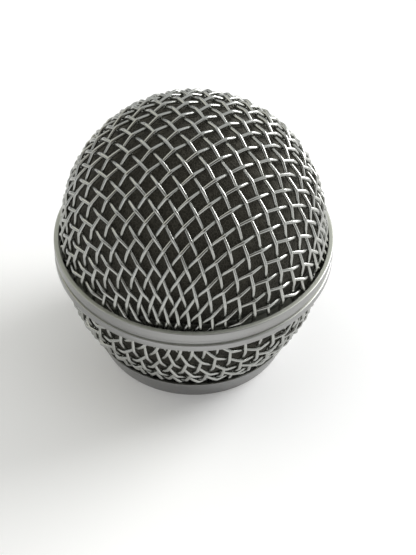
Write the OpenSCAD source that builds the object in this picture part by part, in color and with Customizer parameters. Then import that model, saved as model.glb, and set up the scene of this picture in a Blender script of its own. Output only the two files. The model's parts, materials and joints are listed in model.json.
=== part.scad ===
// Ball grille head of a handheld dynamic microphone.
// Two cups of woven steel wire, a dome and a lower basket, are gripped back to back by a
// band with a groove. A tapered collar with an internal thread closes the basket, and foam lines both.
// The origin is the centre of the collar's bottom face, and +Z is the head's own axis.

/* [Wire cloth] */
// Diameter of the steel wire
wire_d = 0.62; // [0.5:0.02:0.64]
// Distance between neighbouring wires of one direction in the dome
dome_pitch = 2.87; // [2.6:0.01:3.4]
// The same in the basket, whose cloth is drawn a little further
basket_pitch = 2.93; // [2.6:0.01:3.4]
// Radius of the cups' middle surface, between the two wire directions
cloth_r = 23.55; // [23.5:0.01:23.6]
// Turn of the dome's cloth about the axis, in degrees
dome_turn = 34.7; // [0:0.1:360]
// Turn of the basket's cloth about the axis, in degrees
basket_turn = 304.9; // [0:0.1:360]
// How far off centre the dome's warp and weft lie, as shares of the pitch
dome_phase = [0.72, 0.9]; // [0:0.01:1]
// The same for the basket's warp and weft
basket_phase = [0.3, 0.34]; // [0:0.01:1]

/* [Cups] */
// Height of the dome's ball centre
dome_z = 27.8; // [27.65:0.05:27.9]
// Height of the basket's ball centre
basket_z = 19.8; // [19.75:0.05:19.85]

/* [Band] */
// Outer radius of the upper ring, the widest point of the head
band_r = 25.6; // [25.4:0.1:26]
// Inner radius of the upper ring's lip
lip_r = 24.75; // [24.6:0.05:24.9]
// Height of the lip's top face
lip_z = 25.05; // [24.95:0.05:25.25]
// Height of the upper ring's bottom face
upper_ring_z = 23.1; // [22.9:0.05:23.15]
// Outer radius of the lower ring
lower_ring_r = 25.6; // [25:0.1:25.8]
// Radius of the groove's floor
groove_r = 25.2; // [24.6:0.05:25.4]
// Height of the lower ring's top face, which is the groove's lower edge
groove_z = 22.2; // [22:0.05:22.3]
// Height of the lower ring's bottom face
lower_ring_z = 20.85; // [20.7:0.05:21]

/* [Collar] */
// Outer radius at the bottom of the taper
collar_bottom_r = 17.55; // [17.4:0.05:18]
// Outer radius at the top of the taper
collar_top_r = 19.5; // [19.45:0.05:19.8]
// Height of the collar
collar_h = 4.9; // [4.85:0.05:5.1]
// Radius of the thread's crests, the minor radius of a 32 mm thread of 1 mm pitch
thread_r = 15.46; // [15:0.01:15.5]
// Height of the seat for the clamp ring, where the thread ends
seat_z = 3.2; // [3.1:0.05:3.2]

/* [Foam] */
// Thickness of the dome's foam
dome_foam_t = 3.5; // [2.5:0.1:4]
// Thickness of the basket's foam
basket_foam_t = 2.2; // [1.8:0.1:2.4]

/* [Hidden] */

$fn = 96;

// Facets round one wire
wire_fn = 16;
// Small break on turned edges
edge = 0.15;
// Half of the gap between the two wire directions where they cross
layer_gap = 0.01;
// Distance of each direction's centre line from the middle surface
layer = wire_d / 2 + layer_gap;
// Clearance between the cloth and the parts beside it
clear = 0.05;

// Outer and inner surface of both cups
cup_outer_r = cloth_r + wire_d;
cup_inner_r = cloth_r - wire_d;

// The band's pocket, which takes the cups' rims
pocket_outer_r = cup_outer_r + clear;
sleeve_r = 22.5;
sleeve_t = 0.55;
flange_t = 0.4;
sleeve_top = lip_z - 0.8;
sleeve_bottom = lower_ring_z - 0.1;
dome_rim_z = upper_ring_z + flange_t + 0.15;
basket_rim_z = groove_z - flange_t - 0.1;
pocket_step_z = lip_z - 1.1;

// The basket's cut lower edge, inside the collar's mouth
basket_cut_z = seat_z + 0.75;
mouth_r = collar_top_r - 0.35;
throat_r = 18.1;
throat_z = seat_z + 0.4;

// Foam surfaces: just inside the wires, and just inside the band's sleeve
foam_gap = 0.3;
foam_r = cup_inner_r - foam_gap;
foam_skirt_r = sleeve_r - sleeve_t - foam_gap;
dome_foam_step_z = sleeve_top + foam_gap;
basket_foam_step_z = sleeve_bottom - foam_gap;
foam_joint_z = 22.45;
foam_bottom_z = collar_h - 0.2;
beyond = 60;

// A wire is left out where it would rise less than this above the rim
least_rise = 0.9;

// Square cloth drawn over a ball shears, and keeps its pitch along both directions. Its wires
// then lie in planes that lean further the further they are from the centre. This is that lean,
// in degrees, for a wire at angle a from the centre; the two constants fit the exact net.
lean_gain = 0.4035;
lean_ease = 0.7676;
function radians(a) = a * PI / 180;
function lean(a) = lean_gain * pow(radians(a), 3) / (1 + lean_ease * pow(radians(a), 2)) * 180 / PI;

// Angle along a wire, from its highest point, at which it comes down to height z
function reach(a, r, z) =
    let(drop = (z + r * sin(a - lean(a)) * sin(lean(a))) / (r * cos(a - lean(a)) * cos(lean(a))))
    acos(max(-1, min(1, drop)));

// Angles from the centre of all the wires of one direction that show above the rim
function wire_angles(pitch, phase, rim) =
    let(step = pitch / cloth_r * 180 / PI)
    let(widest = acos((rim + least_rise) / cloth_r))
    let(last = ceil(widest / step))
    [for (i = [-last : last]) if (abs(i + phase) * step < widest) (i + phase) * step];

// One wire on a ball of radius r about the origin, between two angles along it
module wire_arc(a, r, from, to) {
    rotate([0, lean(a) - 90, 0])
        translate([0, 0, -r * sin(a - lean(a))])
            rotate([0, 0, from])
                rotate_extrude(angle = to - from)
                    translate([r * cos(a - lean(a)), 0])
                        circle(d = wire_d, $fn = wire_fn);
}

// All the wires of one direction, from the rim up over the top of the ball
module closed_cup_wires(pitch, phase, r, rim) {
    for (a = wire_angles(pitch, phase, rim))
        wire_arc(a, r, -reach(a, r, rim), reach(a, r, rim));
}

// The same with the top of the ball cut away at height cut
module open_cup_wires(pitch, phase, r, rim, cut) {
    for (a = wire_angles(pitch, phase, rim)) {
        if (r * cos(a) > cut) {
            wire_arc(a, r, reach(a, r, cut), reach(a, r, rim));
            wire_arc(a, r, -reach(a, r, rim), -reach(a, r, cut));
        } else {
            wire_arc(a, r, -reach(a, r, rim), reach(a, r, rim));
        }
    }
}

module dome_warp_wires() {
    color([0.66, 0.66, 0.64])
        translate([0, 0, dome_z])
            rotate([0, 0, dome_turn])
                closed_cup_wires(dome_pitch, dome_phase[0], cloth_r + layer, dome_rim_z - dome_z);
}

module dome_weft_wires() {
    color([0.6, 0.6, 0.58])
        translate([0, 0, dome_z])
            rotate([0, 0, dome_turn + 90])
                closed_cup_wires(dome_pitch, dome_phase[1], cloth_r - layer, dome_rim_z - dome_z);
}

module basket_warp_wires() {
    color([0.66, 0.66, 0.64])
        translate([0, 0, basket_z])
            rotate([180, 0, basket_turn])
                open_cup_wires(basket_pitch, basket_phase[0], cloth_r + layer,
                    basket_z - basket_rim_z, basket_z - basket_cut_z);
}

module basket_weft_wires() {
    color([0.6, 0.6, 0.58])
        translate([0, 0, basket_z])
            rotate([180, 0, basket_turn + 90])
                open_cup_wires(basket_pitch, basket_phase[1], cloth_r - layer,
                    basket_z - basket_rim_z, basket_z - basket_cut_z);
}

// L-section hoop: its lip stands proud of the dome, its flange sits on the frame ring's web
module upper_band_ring() {
    color([0.62, 0.62, 0.6])
        rotate_extrude()
            polygon([
                [sleeve_r + clear, upper_ring_z],
                [band_r - edge, upper_ring_z],
                [band_r, upper_ring_z + edge],
                [band_r, lip_z - edge],
                [band_r - edge, lip_z],
                [lip_r, lip_z],
                [lip_r, pocket_step_z + 0.3],
                [pocket_outer_r, pocket_step_z],
                [pocket_outer_r, upper_ring_z + flange_t],
                [sleeve_r + clear, upper_ring_z + flange_t]
            ]);
}

// Hoop under the groove, flange upwards
module lower_band_ring() {
    color([0.58, 0.58, 0.56])
        rotate_extrude()
            polygon([
                [sleeve_r + clear, groove_z],
                [lower_ring_r - edge, groove_z],
                [lower_ring_r, groove_z - edge],
                [lower_ring_r, lower_ring_z + edge],
                [lower_ring_r - edge, lower_ring_z],
                [pocket_outer_r, lower_ring_z],
                [pocket_outer_r, groove_z - flange_t],
                [sleeve_r + clear, groove_z - flange_t]
            ]);
}

// T-section ring: the sleeve backs both rims, the web is the floor of the groove
module frame_ring() {
    color([0.35, 0.35, 0.34])
        rotate_extrude()
            polygon([
                [sleeve_r - sleeve_t, sleeve_bottom],
                [sleeve_r, sleeve_bottom],
                [sleeve_r, groove_z],
                [groove_r, groove_z],
                [groove_r, upper_ring_z],
                [sleeve_r, upper_ring_z],
                [sleeve_r, sleeve_top],
                [sleeve_r - sleeve_t, sleeve_top]
            ]);
}

// Tapered collar: threaded bore below, a seat and a flared mouth for the basket's edge above
module threaded_collar() {
    lead_in = 0.5;
    color([0.5, 0.5, 0.48])
        rotate_extrude()
            polygon([
                [thread_r + lead_in, 0],
                [collar_bottom_r - edge, 0],
                [collar_bottom_r, edge],
                [collar_top_r, collar_h - edge],
                [collar_top_r - edge, collar_h],
                [mouth_r, collar_h],
                [throat_r, throat_z],
                [throat_r, seat_z],
                [thread_r, seat_z],
                [thread_r, lead_in]
            ]);
}

// Ring with a flared upstand that presses the basket's edge into the collar's mouth
module basket_clamp_ring() {
    foot_t = 0.5;
    upstand_bottom_r = 16.3;
    upstand_top_r = 17;
    upstand_t = 0.4;
    inner_r = thread_r + 0.6;
    color([0.45, 0.45, 0.44])
        rotate_extrude()
            polygon([
                [inner_r, seat_z],
                [throat_r - clear, seat_z],
                [throat_r - clear, seat_z + foot_t],
                [upstand_bottom_r, seat_z + foot_t],
                [upstand_top_r, collar_h - 0.3],
                [upstand_top_r - upstand_t, collar_h - 0.3],
                [inner_r, seat_z + foot_t + 0.3]
            ]);
}

// Foam cap with a narrower skirt that passes inside the band
module dome_foam_liner() {
    color([0.13, 0.125, 0.11])
        difference() {
            union() {
                intersection() {
                    translate([0, 0, dome_z])
                        sphere(r = foam_r);
                    translate([0, 0, dome_foam_step_z])
                        cylinder(h = beyond, r = beyond);
                }
                translate([0, 0, foam_joint_z + foam_gap])
                    cylinder(h = dome_foam_step_z - foam_joint_z, r = foam_skirt_r);
            }
            translate([0, 0, dome_z])
                sphere(r = foam_r - dome_foam_t);
        }
}

// Foam bowl, open at the bottom, that meets the cap inside the band
module basket_foam_liner() {
    color([0.13, 0.125, 0.11])
        difference() {
            union() {
                intersection() {
                    translate([0, 0, basket_z])
                        sphere(r = foam_r);
                    translate([0, 0, foam_bottom_z])
                        cylinder(h = basket_foam_step_z - foam_bottom_z, r = beyond);
                }
                translate([0, 0, basket_z - 2])
                    cylinder(h = foam_joint_z - basket_z + 2, r = foam_skirt_r);
            }
            translate([0, 0, basket_z])
                sphere(r = foam_r - basket_foam_t);
        }
}

dome_warp_wires();
dome_weft_wires();
basket_warp_wires();
basket_weft_wires();
upper_band_ring();
lower_band_ring();
frame_ring();
threaded_collar();
basket_clamp_ring();
dome_foam_liner();
basket_foam_liner();
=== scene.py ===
"""Visual model of a handheld microphone's ball grille head, built round its CAD frame."""

import json
import math
import random

import bmesh
import bpy
import numpy as np
from mathutils import Matrix, Vector, noise

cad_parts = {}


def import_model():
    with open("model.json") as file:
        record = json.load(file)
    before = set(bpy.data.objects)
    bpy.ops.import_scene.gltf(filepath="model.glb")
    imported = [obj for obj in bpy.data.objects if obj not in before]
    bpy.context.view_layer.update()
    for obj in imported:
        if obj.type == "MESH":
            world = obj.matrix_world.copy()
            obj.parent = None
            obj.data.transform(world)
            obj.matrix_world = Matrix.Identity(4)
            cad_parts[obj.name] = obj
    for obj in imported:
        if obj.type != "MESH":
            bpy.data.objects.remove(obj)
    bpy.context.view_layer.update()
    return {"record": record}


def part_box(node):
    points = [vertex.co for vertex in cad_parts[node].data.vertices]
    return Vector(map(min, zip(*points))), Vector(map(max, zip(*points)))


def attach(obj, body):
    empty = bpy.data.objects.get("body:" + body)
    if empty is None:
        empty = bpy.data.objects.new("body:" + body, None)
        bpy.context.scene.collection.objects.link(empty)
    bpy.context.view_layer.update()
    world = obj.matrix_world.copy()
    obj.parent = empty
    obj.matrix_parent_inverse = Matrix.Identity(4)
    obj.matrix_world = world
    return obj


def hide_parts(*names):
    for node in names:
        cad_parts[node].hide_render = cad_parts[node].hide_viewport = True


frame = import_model()

MM = 0.001
BODY = "root"

# ---- Sizes --------------------------------------------------------------------------------
# What a node's box or the record gives is read from there. The rest are sizes no box shows.


def top(node):
    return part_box(node)[1].z


def bottom(node):
    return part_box(node)[0].z


def outer_radius(node):
    low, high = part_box(node)
    return (high.x - low.x) / 2


def mount_dims(name):
    return next(mount["dims"] for mount in frame["record"]["mounts"] if mount["name"] == name)


RING_GAP = 0.05 * MM
FOAM_GAP = 0.3 * MM

BAND_R = outer_radius("upper_band_ring")
LOWER_R = outer_radius("lower_band_ring")
LIP_Z, UPPER_Z = top("upper_band_ring"), bottom("upper_band_ring")
GROOVE_Z, LOWER_Z = top("lower_band_ring"), bottom("lower_band_ring")
GROOVE_R = outer_radius("frame_ring")
POCKET_R = outer_radius("dome_warp_wires") + 0.15 * MM
SLEEVE_TOP, SLEEVE_BOTTOM = top("frame_ring"), bottom("frame_ring")
SLEEVE_R = 22.5 * MM
SLEEVE_T = 0.55 * MM
FLANGE_T = 0.4 * MM
LIP_W = 0.92 * MM
LIP_R = BAND_R - LIP_W

COLLAR_TAPER = 1.95 * MM
COLLAR_TOP_R = outer_radius("threaded_collar")
COLLAR_BOTTOM_R = COLLAR_TOP_R - COLLAR_TAPER
COLLAR_H = top("threaded_collar")
COLLAR_MOUTH_T = 0.35 * MM
SEAT_Z = bottom("basket_clamp_ring")
THROAT_R = outer_radius("basket_clamp_ring") + RING_GAP
THREAD_R = mount_dims("handle_thread")["r_mm"] * MM

WIRE_D = 0.665 * MM
CLOTH_R = outer_radius("dome_warp_wires") - WIRE_D
DOME_Z = top("dome_warp_wires") - CLOTH_R - WIRE_D
BASKET_Z = GROOVE_Z - 2.4 * MM
DOME_RIM_Z = UPPER_Z + 0.55 * MM
BASKET_RIM_Z = GROOVE_Z - 0.5 * MM
BASKET_CUT_Z = SEAT_Z + 0.75 * MM


# ---- Meshes -------------------------------------------------------------------------------


def link(name, mesh):
    piece = bpy.data.objects.new(name, mesh)
    bpy.context.scene.collection.objects.link(piece)
    return piece


def set_uvs(mesh, name, face_uvs):
    layer = mesh.uv_layers.new(name=name)
    layer.data.foreach_set("uv", np.array([corner for face in face_uvs for corner in face]).ravel())


def turned_faces(steps, count, closed):
    """Faces of an outline of count points, turned full circle. A closed one joins its ends."""
    faces = []
    for step in range(steps):
        here, after = step * count, (step + 1) % steps * count
        for index in range(count if closed else count - 1):
            following = (index + 1) % count
            faces.append((here + index, after + index, after + following, here + following))
    return faces


def weld_outwards(mesh, distance):
    """Joins points within distance of each other, if it isn't 0, and turns faces outwards."""
    work = bmesh.new()
    work.from_mesh(mesh)
    if distance:
        bmesh.ops.remove_doubles(work, verts=work.verts, dist=distance)
    bmesh.ops.recalc_face_normals(work, faces=work.faces)
    work.to_mesh(mesh)
    work.free()


# ---- The wire net -------------------------------------------------------------------------
# Square cloth drawn over a ball shears and keeps its pitch along both directions. Each wire
# then lies in a plane, which leans further the further the wire is from the middle. Angles are
# in radians from the crown, and a wire whose crown is within RIM_MARGIN of the rim is left out.

LEAN_GAIN = 0.4035
LEAN_EASE = 0.7676
SEARCH_ANGLE = 1.95
SEARCH_STEPS = 34
RIM_MARGIN = 0.9 * MM
FLARE_LIMIT = 1.15
FEWEST_SAMPLES = 6
SAMPLES_PER_PITCH = 10
WIRE_SIDES = 12
CRIMP = 0.985


def lean(angle):
    return LEAN_GAIN * angle**3 / (1 + LEAN_EASE * angle**2)


def wire_points(angle, turn):
    """Points on the unit ball along the wire at this angle from the middle."""
    tilt = lean(angle)
    radius = math.cos(angle - tilt)
    offset = math.sin(angle - tilt)
    return np.stack(
        [
            offset * math.cos(tilt) + radius * math.sin(tilt) * np.cos(turn),
            radius * np.sin(turn),
            -offset * math.sin(tilt) + radius * math.cos(tilt) * np.cos(turn),
        ],
        axis=1,
    )


def wire_reach(angle, height):
    """Turn along a wire, from its highest point, at which it comes down to height."""
    tilt = lean(angle)
    drop = (height + math.sin(angle - tilt) * math.sin(tilt)) / (
        math.cos(angle - tilt) * math.cos(tilt)
    )
    return math.acos(max(-1.0, min(1.0, drop)))


def cross_angle(points):
    """For points on the ball, the angle of the crossing wire that would pass through each."""
    low = np.full(len(points), -SEARCH_ANGLE)
    high = np.full(len(points), SEARCH_ANGLE)
    for _ in range(SEARCH_STEPS):
        middle = (low + high) / 2
        tilt = lean(middle)
        side = np.sin(middle - tilt) + points[:, 2] * np.sin(tilt) - points[:, 1] * np.cos(tilt)
        high = np.where(side > 0, middle, high)
        low = np.where(side > 0, low, middle)
    return (low + high) / 2


def crimp(cycles):
    """Height of a woven wire's centre, from -1 to 1, at a place counted in crossings."""
    return np.arcsin(CRIMP * np.cos(np.pi * cycles)) / math.asin(CRIMP)


def flared(path, flare):
    """Draws a cup's lower edge outwards. flare is (start height, end height, distance)."""
    start, end, distance = flare
    share = np.clip((start - path[:, 2]) / (start - end), 0, FLARE_LIMIT)
    out = path[:, :2] / np.linalg.norm(path[:, :2], axis=1)[:, None]
    moved = path.copy()
    moved[:, :2] += out * (distance * share**2)[:, None]
    return moved


class Tubes:
    """Gathers swept wires into one mesh, with UVs in metres round and along each wire."""

    def __init__(self):
        self.points, self.faces, self.uvs, self.crowns, self.seeds = [], [], [], [], []
        self.count = 0

    def add(self, path, normals, crown, radius, sides, seed):
        tangents = np.gradient(path, axis=0)
        tangents /= np.linalg.norm(tangents, axis=1)[:, None]
        up = normals - tangents * np.sum(normals * tangents, axis=1)[:, None]
        up /= np.linalg.norm(up, axis=1)[:, None]
        across = np.cross(tangents, up)
        round_angles = np.arange(sides) / sides * 2 * math.pi
        steps = np.concatenate([[0], np.cumsum(np.linalg.norm(np.diff(path, axis=0), axis=1))])
        rings = (
            path[:, None, :]
            + radius * np.cos(round_angles)[None, :, None] * up[:, None, :]
            + radius * np.sin(round_angles)[None, :, None] * across[:, None, :]
        )
        length = len(path)
        base = self.count
        self.points.append(rings.reshape(-1, 3))
        self.crowns.append(np.repeat(crown, sides))
        self.seeds.append(np.full(length * sides, seed))
        for ring in range(length - 1):
            for side in range(sides):
                after = (side + 1) % sides
                a, b = base + ring * sides + side, base + ring * sides + after
                self.faces.append((a, b, b + sides, a + sides))
                u0, u1 = side / sides, (side + 1) / sides
                v0, v1 = steps[ring], steps[ring + 1]
                self.uvs.append(((u0, v0), (u1, v0), (u1, v1), (u0, v1)))
        for first, flip in ((base, True), (base + (length - 1) * sides, False)):
            cap = [first + side for side in range(sides)]
            self.faces.append(tuple(reversed(cap)) if flip else tuple(cap))
            self.uvs.append(tuple((side / sides, 0.0) for side in range(sides)))
        self.count += length * sides

    def build(self, name):
        mesh = bpy.data.meshes.new(name)
        mesh.from_pydata(np.concatenate(self.points).tolist(), [], self.faces)
        set_uvs(mesh, "Along", self.uvs)
        for label, values in (("crown", self.crowns), ("wire", self.seeds)):
            attribute = mesh.attributes.new(label, "FLOAT", "POINT")
            attribute.data.foreach_set("value", np.concatenate(values).astype(np.float32))
        mesh.polygons.foreach_set("use_smooth", [len(face) == 4 for face in self.faces])
        mesh.update()
        return link(name, mesh)


def turned(points, degrees, flipped):
    """Points of a cup's own net, turned about the axis and, for the basket, upside down."""
    c, s = math.cos(math.radians(degrees)), math.sin(math.radians(degrees))
    x, y, z = points.T
    if flipped:
        y, z = -y, -z
    return np.stack([x * c - y * s, x * s + y * c, z], axis=1)


def woven_wires(name, cup, own_phase, cross_phase, over, turn):
    """One direction of a cup's cloth. Heights are above the ball's centre, towards the crown.

    over is 0 if the wires with an even sum of own and crossing index pass over, or else 1.
    """
    step = cup["pitch"] / CLOTH_R
    rim, cut = cup["rim"], cup["cut"]
    widest = math.acos((rim + RIM_MARGIN) / CLOTH_R)
    tubes = Tubes()
    last = math.ceil(widest / step)
    for index in range(-last, last + 1):
        angle = (index + own_phase) * step
        if abs(angle) >= widest:
            continue
        end = wire_reach(angle, rim / CLOTH_R)
        spans = [(-end, end)]
        if cut is not None and CLOTH_R * math.cos(angle) > cut:
            start = wire_reach(angle, cut / CLOTH_R)
            spans = [(-end, -start), (start, end)]
        for span, (a, b) in enumerate(spans):
            radius = CLOTH_R * math.cos(angle - lean(angle))
            pitches = (b - a) * radius / cup["pitch"]
            samples = max(FEWEST_SAMPLES, math.ceil(pitches * SAMPLES_PER_PITCH))
            ball = wire_points(angle, np.linspace(a, b, samples))
            crossing = cross_angle(ball) / step - cross_phase
            height = crimp(crossing + index + over)
            path = flared(ball * (CLOTH_R + height * WIRE_D / 2)[:, None], cup["flare"])
            wire_seed = random.Random(f"{name} {index} {span}").random()
            tubes.add(
                turned(path, turn, cup["flipped"]) + np.array([0, 0, cup["centre_z"]]),
                turned(ball, turn, cup["flipped"]),
                height,
                WIRE_D / 2,
                WIRE_SIDES,
                wire_seed,
            )
    return tubes.build(name)


# ---- Turned parts -------------------------------------------------------------------------

TURN_STEPS = 288
ROUNDING_SHARE = 0.49


def rounded(corners, steps=5):
    """A closed outline with its corners rounded. A corner is (r, z, radius in millimetres).

    A rounding takes up to ROUNDING_SHARE of the shorter edge beside it.
    """
    outline = []
    for index, (r, z, radius) in enumerate(corners):
        here = Vector((r, z))
        if radius == 0:
            outline.append(here)
            continue
        before = Vector(corners[index - 1][:2])
        after = Vector(corners[(index + 1) % len(corners)][:2])
        to_before, to_after = (before - here).normalized(), (after - here).normalized()
        half = to_before.angle(to_after) / 2
        room = ROUNDING_SHARE * min((before - here).length, (after - here).length)
        back = min(radius * MM / math.tan(half), room)
        start, end = here + to_before * back, here + to_after * back
        for step in range(steps + 1):
            t = step / steps
            outline.append(start * (1 - t) ** 2 + here * 2 * t * (1 - t) + end * t**2)
    return outline


def lathe(name, outline, shape=None, smooth_angle=40):
    """Turns a closed outline of (r, z) about the axis.

    shape, if given, takes (r, z, turn) and returns a new (r, z), for a thread.
    """
    count = len(outline)
    along = [0.0]
    for index in range(count):
        along.append(along[-1] + (outline[(index + 1) % count] - outline[index]).length)
    points, uvs = [], []
    for step in range(TURN_STEPS):
        turn = 2 * math.pi * step / TURN_STEPS
        c, s = math.cos(turn), math.sin(turn)
        u0, u1 = step / TURN_STEPS, (step + 1) / TURN_STEPS
        for index, place in enumerate(outline):
            r, z = place if shape is None else shape(*place, turn)
            points.append((r * c, r * s, z))
            v0, v1 = along[index], along[index + 1]
            uvs.append(((u0, v0), (u1, v0), (u1, v1), (u0, v1)))
    mesh = bpy.data.meshes.new(name)
    mesh.from_pydata(points, [], turned_faces(TURN_STEPS, count, closed=True))
    set_uvs(mesh, "Turned", uvs)
    mesh.update()
    weld_outwards(mesh, 0)
    mesh.shade_smooth()
    mesh.set_sharp_from_angle(angle=math.radians(smooth_angle))
    return link(name, mesh)


def upper_band():
    """L-section hoop. Its lip has a broken inner edge and a broader round on the outside."""
    inner_r = SLEEVE_R + RING_GAP
    corners = [
        (inner_r, UPPER_Z, 0.05),
        (BAND_R, UPPER_Z, 0.45),
        (BAND_R, LIP_Z, 0.26),
        (LIP_R, LIP_Z, 0.12),
        (LIP_R, UPPER_Z + FLANGE_T, 0.1),
        (inner_r, UPPER_Z + FLANGE_T, 0.05),
    ]
    return lathe("band_upper", rounded(corners))


def lower_band():
    inner_r = SLEEVE_R + RING_GAP
    corners = [
        (inner_r, GROOVE_Z, 0.05),
        (LOWER_R, GROOVE_Z, 0.35),
        (LOWER_R, LOWER_Z, 0.2),
        (POCKET_R, LOWER_Z, 0.1),
        (POCKET_R, GROOVE_Z - FLANGE_T, 0.05),
        (inner_r, GROOVE_Z - FLANGE_T, 0.05),
    ]
    return lathe("band_lower", rounded(corners))


def inner_frame():
    inner_r = SLEEVE_R - SLEEVE_T
    corners = [
        (inner_r, SLEEVE_BOTTOM, 0.1),
        (SLEEVE_R, SLEEVE_BOTTOM, 0.1),
        (SLEEVE_R, GROOVE_Z, 0),
        (GROOVE_R, GROOVE_Z, 0),
        (GROOVE_R, UPPER_Z, 0),
        (SLEEVE_R, UPPER_Z, 0),
        (SLEEVE_R, SLEEVE_TOP, 0.1),
        (inner_r, SLEEVE_TOP, 0.1),
    ]
    return lathe("band_frame", rounded(corners))


THREAD_PITCH = 1.0 * MM
THREAD_DEPTH = 0.54 * MM
THREAD_LEAD = 0.5 * MM
THREAD_ROWS = 54
THREAD_ROOT = 1.45
THREAD_FLANK = 4
THREAD_FADE_TOP = 2
THREAD_FADE_FOOT = 3.3
CREST_TOLERANCE = 0.001 * MM


def collar():
    """Tapered ring with a helical thread cut into its bore.

    The cut's depth is a share of THREAD_DEPTH. It falls by THREAD_FLANK per pitch away from the
    middle of the root, and the fades are how fast it grows, per millimetre, from either end.
    """
    thread_top, thread_bottom = SEAT_Z, THREAD_LEAD
    drop = (thread_top - thread_bottom) / THREAD_ROWS
    bore = [Vector((THREAD_R, thread_top - drop * row)) for row in range(THREAD_ROWS + 1)]
    corners = [
        (THREAD_R + THREAD_LEAD, 0, 0.08),
        (COLLAR_BOTTOM_R, 0, 0.18),
        (COLLAR_TOP_R, COLLAR_H, 0.7),
        (COLLAR_TOP_R - COLLAR_MOUTH_T, COLLAR_H, 0.08),
        (THROAT_R, SEAT_Z + 0.4 * MM, 0.1),
        (THROAT_R, SEAT_Z, 0.05),
    ]

    def threaded(r, z, turn):
        if r > THREAD_R + CREST_TOLERANCE:
            return r, z
        cycle = (z / THREAD_PITCH + turn / (2 * math.pi)) % 1.0
        root = max(0.0, min(1.0, THREAD_ROOT - THREAD_FLANK * abs(cycle - 0.5)))
        rise = (z - thread_bottom) / MM + 0.1
        fall = (thread_top - z) / MM
        fade = max(0.0, min(1.0, fall * THREAD_FADE_TOP, rise * THREAD_FADE_FOOT))
        return r + THREAD_DEPTH * root * fade, z

    return lathe("collar", rounded(corners) + bore, threaded, smooth_angle=55)


CLAMP_CLEARANCE = 0.6 * MM


def clamp_ring():
    """Flat foot on the collar's seat, with an upstand that leans out along the basket."""
    inner_r = THREAD_R + CLAMP_CLEARANCE
    outer_r = THROAT_R - RING_GAP
    foot_z, upstand_z = SEAT_Z + 0.5 * MM, COLLAR_H - 0.3 * MM
    corners = [
        (inner_r, SEAT_Z, 0.08),
        (outer_r, SEAT_Z, 0.08),
        (outer_r, foot_z, 0.1),
        (inner_r + 0.24 * MM, foot_z, 0.1),
        (inner_r + 0.94 * MM, upstand_z, 0.12),
        (inner_r + 0.54 * MM, upstand_z, 0.12),
        (inner_r, foot_z + 0.3 * MM, 0.1),
    ]
    return lathe("basket_clamp", rounded(corners))


# ---- Foam ---------------------------------------------------------------------------------

CELL = 0.55 * MM
CELL_WALL = 0.45
PIT = 0.16 * MM
UNEVEN_OVER = 7 * MM
FOAM_R = outer_radius("dome_foam_liner")
SKIRT_R = SLEEVE_R - SLEEVE_T - FOAM_GAP
DOME_FOAM_T = 3.5 * MM
BASKET_FOAM_T = 2.2 * MM
FOAM_STEPS = 360
SPACING = 0.28 * MM
DOME_INNER_SPACING = SPACING * 1.4
BASKET_INNER_SPACING = SPACING * 1.3


def foam_relief(place):
    """Depth of the open cells at a place on the foam's surface, always inwards."""
    near, _ = noise.voronoi(place / CELL, distance_metric="DISTANCE")
    wall = min(1.0, (near[1] - near[0]) / CELL_WALL)
    broad = noise.noise(place / UNEVEN_OVER) * 0.5 + 0.5
    return PIT * wall * (0.55 + 0.45 * broad)


def arc(centre_z, radius, start, end, spacing, inwards=False):
    """Outline points along a circle round (0, centre_z), between two angles up from level."""
    number = max(2, math.ceil(abs(end - start) * radius / spacing))
    sign = -1 if inwards else 1
    outline = []
    for step in range(number + 1):
        angle = start + (end - start) * step / number
        c, s = math.cos(angle), math.sin(angle)
        outline.append((radius * c, centre_z + radius * s, sign * c, sign * s))
    return outline


def line(start, end, normal):
    """Outline points between two places, without the places themselves."""
    (r0, z0), (r1, z1) = start, end
    number = max(2, math.ceil(math.hypot(r1 - r0, z1 - z0) / SPACING))
    return [
        (r0 + (r1 - r0) * step / number, z0 + (z1 - z0) * step / number, *normal)
        for step in range(1, number)
    ]


def turned_foam(name, outline, closed):
    """Turns an outline of (r, z, normal r, normal z) and sinks the cells into its surface."""
    points = []
    for step in range(FOAM_STEPS):
        turn = 2 * math.pi * step / FOAM_STEPS
        c, s = math.cos(turn), math.sin(turn)
        for r, z, normal_r, normal_z in outline:
            place = Vector((r * c, r * s, z))
            normal = Vector((normal_r * c, normal_r * s, normal_z))
            points.append(tuple(place - normal * foam_relief(place)))
    mesh = bpy.data.meshes.new(name)
    mesh.from_pydata(points, [], turned_faces(FOAM_STEPS, len(outline), closed))
    mesh.update()
    weld_outwards(mesh, 0.02 * MM)
    mesh.shade_smooth()
    return link(name, mesh)


def at_height(radius, height):
    """Angle and radius where a circle passes this height above its centre."""
    angle = math.asin(height / radius)
    return angle, radius * math.cos(angle)


def dome_foam():
    step_z, joint_z = SLEEVE_TOP + FOAM_GAP, bottom("dome_foam_liner")
    inner = FOAM_R - DOME_FOAM_T
    low, step_r = at_height(FOAM_R, step_z - DOME_Z)
    inner_low, inner_r = at_height(inner, joint_z - DOME_Z)
    outline = arc(DOME_Z, FOAM_R, math.pi / 2, low, SPACING)
    outline += line((step_r, step_z), (SKIRT_R, step_z), (0, -1))
    outline += [(SKIRT_R, step_z, 0.7, -0.7)]
    outline += line((SKIRT_R, step_z), (SKIRT_R, joint_z), (1, 0))
    outline += [(SKIRT_R, joint_z, 0.7, -0.7)]
    outline += line((SKIRT_R, joint_z), (inner_r, joint_z), (0, -1))
    outline += arc(DOME_Z, inner, inner_low, math.pi / 2, DOME_INNER_SPACING, inwards=True)
    return turned_foam("foam_dome", outline, closed=False)


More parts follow.
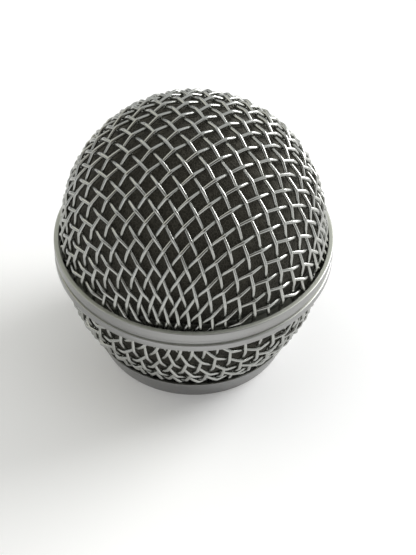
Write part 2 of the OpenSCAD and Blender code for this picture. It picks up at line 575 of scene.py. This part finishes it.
def basket_foam():
    step_z, joint_z = SLEEVE_BOTTOM - FOAM_GAP, top("basket_foam_liner")
    low_z = bottom("basket_foam_liner")
    inner = FOAM_R - BASKET_FOAM_T
    high, _ = at_height(FOAM_R, step_z - BASKET_Z)
    low, low_r = at_height(FOAM_R, low_z - BASKET_Z)
    inner_low, inner_low_r = at_height(inner, low_z - BASKET_Z)
    inner_high, inner_high_r = at_height(inner, joint_z - BASKET_Z)
    outline = [(SKIRT_R, joint_z, 0.7, 0.7)]
    outline += line((SKIRT_R, joint_z), (SKIRT_R, step_z), (1, 0))
    outline += [(SKIRT_R, step_z, 0.7, 0.7)]
    outline += arc(BASKET_Z, FOAM_R, high, low, SPACING)
    outline += line((low_r, low_z), (inner_low_r, low_z), (0, -1))
    outline += arc(BASKET_Z, inner, inner_low, inner_high, BASKET_INNER_SPACING, inwards=True)
    outline += line((inner_high_r, joint_z), (SKIRT_R, joint_z), (0, 1))
    return turned_foam("foam_basket", outline, closed=True)


# ---- Materials ----------------------------------------------------------------------------
# Stretch of the noise that makes fine lines: round and along a wire, with a shift for each
# wire, and across and round a turned part.

DRAWN_ROUND = 6.0
DRAWN_ALONG = 180.0
DRAWN_SHIFT = 97.0
LATHE_LINES = 9000.0
LATHE_ROUND = 1.2


class Graph:
    """Short hand for building a node tree."""

    def __init__(self, tree):
        self.tree = tree

    def node(self, kind, inputs=None, **settings):
        made = self.tree.nodes.new(kind)
        for key, value in settings.items():
            setattr(made, key, value)
        for key, value in (inputs or {}).items():
            self.put(made.inputs[key], value)
        return made

    def put(self, socket, value):
        if isinstance(value, bpy.types.NodeSocket):
            self.tree.links.new(value, socket)
        else:
            socket.default_value = value

    def math(self, operation, a, b=0.0):
        return self.node("ShaderNodeMath", {0: a, 1: b}, operation=operation).outputs[0]

    def combine(self, x, y, z):
        return self.node("ShaderNodeCombineXYZ", {0: x, 1: y, 2: z}).outputs[0]

    def remap(self, value, low, high, to_low=0.0, to_high=1.0):
        inputs = {"Value": value, "From Min": low, "From Max": high, "To Min": to_low, "To Max": to_high}
        return self.node("ShaderNodeMapRange", inputs).outputs["Result"]

    def mix(self, factor, a, b):
        made = self.node("ShaderNodeMix", data_type="RGBA")
        for socket, value in ((made.inputs[0], factor), (made.inputs[6], a), (made.inputs[7], b)):
            self.put(socket, value)
        return made.outputs[2]

    def noise(self, vector, scale, detail=3.0, roughness=0.5):
        inputs = {"Vector": vector, "Scale": scale, "Detail": detail, "Roughness": roughness}
        return self.node("ShaderNodeTexNoise", inputs).outputs["Fac"]

    def bump(self, height, strength, distance):
        inputs = {"Height": height, "Strength": strength, "Distance": distance}
        return self.node("ShaderNodeBump", inputs).outputs["Normal"]


class MaterialGraph(Graph):
    def __init__(self, name):
        self.material = bpy.data.materials.new(name)
        self.material.use_nodes = True
        super().__init__(self.material.node_tree)
        self.shader = self.tree.nodes["Principled BSDF"]
        coordinates = self.node("ShaderNodeTexCoord")
        self.place = coordinates.outputs["Object"]
        self.normal = coordinates.outputs["Normal"]

    def set(self, **values):
        for key, value in values.items():
            self.put(self.shader.inputs[key.replace("_", " ")], value)


def grey(level, olive=0.0, brown=0.0):
    """A grey, tinted by small shares of olive or brown."""
    red = 1 + brown
    green = 1 + 0.4 * olive
    blue = 1 - 1.4 * olive - 4 * brown
    return (level * red, level * green, level * blue, 1.0)


def wire_material():
    """Plated drawn wire: fine lines along it, painted shade low in the weave where it runs under
    crossing wires, crowns rubbed bright.
    """
    g = MaterialGraph("steel_wire")
    uv = g.node("ShaderNodeUVMap", uv_map="Along").outputs[0]
    crown = g.node("ShaderNodeAttribute", attribute_name="crown").outputs["Fac"]
    seed = g.node("ShaderNodeAttribute", attribute_name="wire").outputs["Fac"]
    u, v, _ = g.node("ShaderNodeSeparateXYZ", {0: uv}).outputs
    around = g.math("MULTIPLY", u, 2 * math.pi)
    along = g.math("ADD", g.math("MULTIPLY", v, DRAWN_ALONG), g.math("MULTIPLY", seed, DRAWN_SHIFT))
    drawn = g.combine(
        g.math("MULTIPLY", g.math("COSINE", around), DRAWN_ROUND),
        g.math("MULTIPLY", g.math("SINE", around), DRAWN_ROUND),
        along,
    )
    lines = g.noise(drawn, 1.0, 2.0, 0.6)
    patches = g.noise(g.place, 160.0, 3.0, 0.55)
    specks = g.noise(g.place, 2600.0, 2.0, 0.6)
    base = g.mix(g.remap(patches, 0.3, 0.7), grey(0.385, 0.03), grey(0.465, 0.02))
    # Darker where the wire dips low under its crossing wire: painted shade.
    base = g.mix(g.remap(crown, -1.0, 0.2, 0.45, 0.0), base, grey(0.36, 0.05))
    base = g.mix(g.remap(lines, 0.35, 0.65, 0.22, 0.0), base, grey(0.3, 0.03))
    rough = g.remap(patches, 0.25, 0.75, 0.17, 0.25)
    rough = g.math("ADD", rough, g.remap(specks, 0.4, 0.8, 0.0, 0.1))
    rough = g.math("SUBTRACT", rough, g.remap(crown, 0.6, 1.0, 0.0, 0.04))
    height = g.math("ADD", g.math("MULTIPLY", lines, 0.7), g.math("MULTIPLY", specks, 0.3))
    normal = g.bump(height, 0.35, 0.02 * MM)
    g.set(Base_Color=base, Metallic=1.0, Roughness=rough, Normal=normal)
    return g.material


def turned_material(name, level, low_rough, high_rough, painted_top_level, face_rough):
    """Satin plate on a turned part: fine lines round the axis, upward faces rougher and in a painted
    tone of their own, painted light on the top faces.
    """
    g = MaterialGraph(name)
    x, y, z = g.node("ShaderNodeSeparateXYZ", {0: g.place}).outputs
    up = g.node("ShaderNodeSeparateXYZ", {0: g.normal}).outputs[2]
    radius = g.math("SQRT", g.math("ADD", g.math("MULTIPLY", x, x), g.math("MULTIPLY", y, y)))
    lathe_place = g.combine(
        g.math("MULTIPLY", radius, LATHE_LINES),
        g.math("MULTIPLY", z, LATHE_LINES),
        g.math("MULTIPLY", g.math("ARCTAN2", y, x), LATHE_ROUND),
    )
    lines = g.noise(lathe_place, 1.0, 3.0, 0.65)
    patches = g.noise(g.place, 140.0, 4.0, 0.55)
    specks = g.noise(g.place, 3000.0, 2.0, 0.6)
    base = g.mix(g.remap(patches, 0.3, 0.7), grey(level * 0.93, brown=0.006), grey(level * 1.06))
    # Upward faces get their own roughness and a painted tone: painted light on the top faces.
    painted_top_and_finish = g.remap(up, 0.8, 0.97)
    base = g.mix(painted_top_and_finish, base, grey(painted_top_level, 0.06))
    base = g.mix(g.remap(lines, 0.3, 0.6, 0.3, 0.0), base, grey(level * 0.72, brown=0.01))
    rough = g.remap(patches, 0.25, 0.75, low_rough, high_rough)
    rough = g.math("ADD", rough, g.remap(specks, 0.4, 0.8, 0.0, 0.08))
    rough = g.math("ADD", rough, g.math("MULTIPLY", painted_top_and_finish, face_rough - high_rough))
    height = g.math("ADD", g.math("MULTIPLY", lines, 0.8), g.math("MULTIPLY", specks, 0.2))
    normal = g.bump(height, 0.4, 0.02 * MM)
    g.set(Base_Color=base, Metallic=1.0, Roughness=rough, Normal=normal)
    return g.material


def foam_material():
    """Near-black open-cell foam: lighter cell walls and darker pits, painted shade in the pits, and a
    little dust.
    """
    g = MaterialGraph("foam")
    cells = g.node(
        "ShaderNodeTexVoronoi", {"Vector": g.place, "Scale": 1 / CELL}, feature="DISTANCE_TO_EDGE"
    ).outputs["Distance"]
    fine = g.node(
        "ShaderNodeTexVoronoi", {"Vector": g.place, "Scale": 2.3 / CELL}, feature="F1"
    ).outputs["Distance"]
    dust = g.noise(g.place, 900.0, 4.0, 0.7)
    broad = g.noise(g.place, 120.0, 3.0, 0.5)
    # Darker away from the cell walls, inside the pits: painted shade.
    base = g.mix(g.remap(cells, 0.02, 0.16), grey(0.08, brown=0.05), grey(0.039, brown=0.055))
    base = g.mix(g.remap(broad, 0.35, 0.7, 0.0, 0.45), base, grey(0.058, brown=0.055))
    base = g.mix(g.remap(dust, 0.66, 0.8, 0.0, 0.5), base, grey(0.15, brown=0.03))
    height = g.math("ADD", g.remap(cells, 0.0, 0.2, 1.0, 0.0), g.math("MULTIPLY", fine, 0.6))
    rough = g.remap(broad, 0.3, 0.7, 0.88, 0.98)
    g.set(Base_Color=base, Roughness=rough, Normal=g.bump(height, 0.6, 0.12 * MM))
    g.shader.inputs["Specular IOR Level"].default_value = 0.25
    g.shader.inputs["Sheen Weight"].default_value = 0.08
    return g.material


def floor_material():
    """Plain pale table, with a faint glow of its own."""
    g = MaterialGraph("studio_floor")
    shade = g.mix(g.noise(g.place, 4.0, 2.0, 0.5), grey(0.88), grey(0.92))
    g.set(Base_Color=shade, Roughness=0.9, Emission_Color=shade)
    g.shader.inputs["Emission Strength"].default_value = 0.1
    return g.material


# ---- Assembly -----------------------------------------------------------------------------


def finish_piece(piece, material, slot, *nodes):
    piece.data.materials.clear()
    piece.data.materials.append(material)
    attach(piece, BODY)
    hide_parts(*nodes)
    return piece


DOME = {
    "pitch": 2.874 * MM,
    "turn": 35.09,
    "phases": (0.722, 0.851),
    "centre_z": DOME_Z,
    "rim": DOME_RIM_Z - DOME_Z,
    "cut": None,
    "flare": (5.2 * MM, LIP_Z - DOME_Z, 0.6 * MM),
    "flipped": False,
}
BASKET = {
    "pitch": 2.93 * MM,
    "turn": 304.95,
    "phases": (0.299, 0.337),
    "centre_z": BASKET_Z,
    "rim": BASKET_Z - BASKET_RIM_Z,
    "cut": BASKET_Z - BASKET_CUT_Z,
    "flare": (3.0 * MM, -1.2 * MM, 0.08 * MM),
    "flipped": True,
}


def cloth(name, cup, wire):
    """Both wire directions of a cup.

    Seen from a wire of one direction, the other direction's wires count forwards or backwards,
    and a phase counted backwards is what is left of the pitch.
    """
    warp, weft = cup["phases"]
    over = 1 if cup["flipped"] else 0
    seen_from_warp = 1 - weft if cup["flipped"] else weft
    seen_from_weft = warp if cup["flipped"] else 1 - warp
    for direction, own, cross, turn in (
        ("warp", warp, seen_from_warp, cup["turn"]),
        ("weft", weft, seen_from_weft, cup["turn"] + 90),
    ):
        piece = woven_wires(f"{name}_cloth_{direction}", cup, own, cross, over, turn)
        finish_piece(piece, wire, "steel_wire", f"{name}_{direction}_wires")


wire = wire_material()
cloth("dome", DOME, wire)
cloth("basket", BASKET, wire)

# Each part's upward faces are painted a tone of their own: painted light on the top faces.
band_metal = turned_material(
    "satin_band", level=0.34, low_rough=0.3, high_rough=0.38, painted_top_level=0.5, face_rough=0.6
)
collar_metal = turned_material(
    "satin_collar", level=0.28, low_rough=0.34, high_rough=0.42, painted_top_level=0.4, face_rough=0.5
)
dull_metal = turned_material(
    "dull_steel", level=0.34, low_rough=0.42, high_rough=0.55, painted_top_level=0.3, face_rough=0.6
)
finish_piece(upper_band(), band_metal, "satin_band", "upper_band_ring")
finish_piece(lower_band(), band_metal, "satin_band", "lower_band_ring")
finish_piece(inner_frame(), band_metal, "satin_band", "frame_ring")
finish_piece(collar(), collar_metal, "satin_collar", "threaded_collar")
finish_piece(clamp_ring(), dull_metal, "dull_steel", "basket_clamp_ring")

foam = foam_material()
finish_piece(dome_foam(), foam, "foam", "dome_foam_liner")
finish_piece(basket_foam(), foam, "foam", "basket_foam_liner")


# ---- Studio -------------------------------------------------------------------------------

ROOM_LOW = (0.41, 0.43, 0.455, 1)
ROOM_HIGH = (0.97, 0.98, 0.97, 1)
ROOM_RIGHT = (0.98, 1.0, 0.99, 1)
ROOM_LEFT = (1.45, 1.43, 1.27, 1)
ROOM_FRONT = (0.13, 0.112, 0.09, 1)
ROOM_STRENGTH = 0.88
FLOOR_HALF = 3.0
LIGHT_AIM_Z = 0.028


def floor():
    half = FLOOR_HALF
    corners = [(-half, -half, 0), (half, -half, 0), (half, half, 0), (-half, half, 0)]
    mesh = bpy.data.meshes.new("floor")
    mesh.from_pydata(corners, [], [(0, 1, 2, 3)])
    plane = link("floor", mesh)
    plane.data.materials.append(floor_material())


def area_light(name, direction, distance, size, power):
    data = bpy.data.lights.new(name, "AREA")
    data.size = size
    data.energy = power
    light = bpy.data.objects.new(name, data)
    aim = Vector((0, 0, LIGHT_AIM_Z))
    light.location = aim + Vector(direction).normalized() * distance
    light.rotation_euler = (aim - light.location).to_track_quat("-Z", "Y").to_euler()
    bpy.context.scene.collection.objects.link(light)


def world():
    """A pale room: brighter overhead and to the right, a cream window at the left, dark in front."""
    made = bpy.data.worlds.new("studio")
    bpy.context.scene.world = made
    made.use_nodes = True
    g = Graph(made.node_tree)
    direction = g.node("ShaderNodeTexCoord").outputs["Generated"]

    def towards(x, y, z):
        inputs = {0: direction, 1: Vector((x, y, z)).normalized()}
        return g.node("ShaderNodeVectorMath", inputs, operation="DOT_PRODUCT").outputs["Value"]

    room = g.mix(g.remap(towards(0, 0, 1), 0.0, 0.9), ROOM_LOW, ROOM_HIGH)
    room = g.mix(g.remap(towards(-0.69, 0.35, 0.62), 0.87, 0.95), room, ROOM_LEFT)
    room = g.mix(g.remap(towards(0.9, 0.4, 0.3), 0.1, 1.0), room, ROOM_RIGHT)
    room = g.mix(g.remap(towards(0, -0.72, 0.69), 0.72, 0.9), room, ROOM_FRONT)
    background = made.node_tree.nodes["Background"]
    g.put(background.inputs["Color"], room)
    background.inputs["Strength"].default_value = ROOM_STRENGTH


def camera():
    distance, height, rise, roll = 0.300, 0.0254, math.radians(43.72), math.radians(0.5)
    data = bpy.data.cameras.new("camera")
    data.lens = 106.42
    data.sensor_width = 36
    data.shift_x, data.shift_y = 0.0256, -0.0841
    data.clip_start, data.clip_end = 0.01, 20
    made = bpy.data.objects.new("camera", data)
    made.location = (0, -distance * math.cos(rise), height + distance * math.sin(rise))
    aimed = Matrix.Rotation(math.pi / 2 - rise, 3, "X") @ Matrix.Rotation(roll, 3, "Z")
    made.rotation_euler = aimed.to_euler()
    bpy.context.scene.collection.objects.link(made)
    bpy.context.scene.camera = made


floor()
world()
camera()
area_light("key", direction=(0.8, 0.45, 0.38), distance=0.6, size=0.34, power=4.0)
area_light("fill", direction=(-0.25, -1.0, 0.12), distance=0.7, size=0.7, power=1.3)
bpy.context.scene.view_settings.view_transform = "Standard"
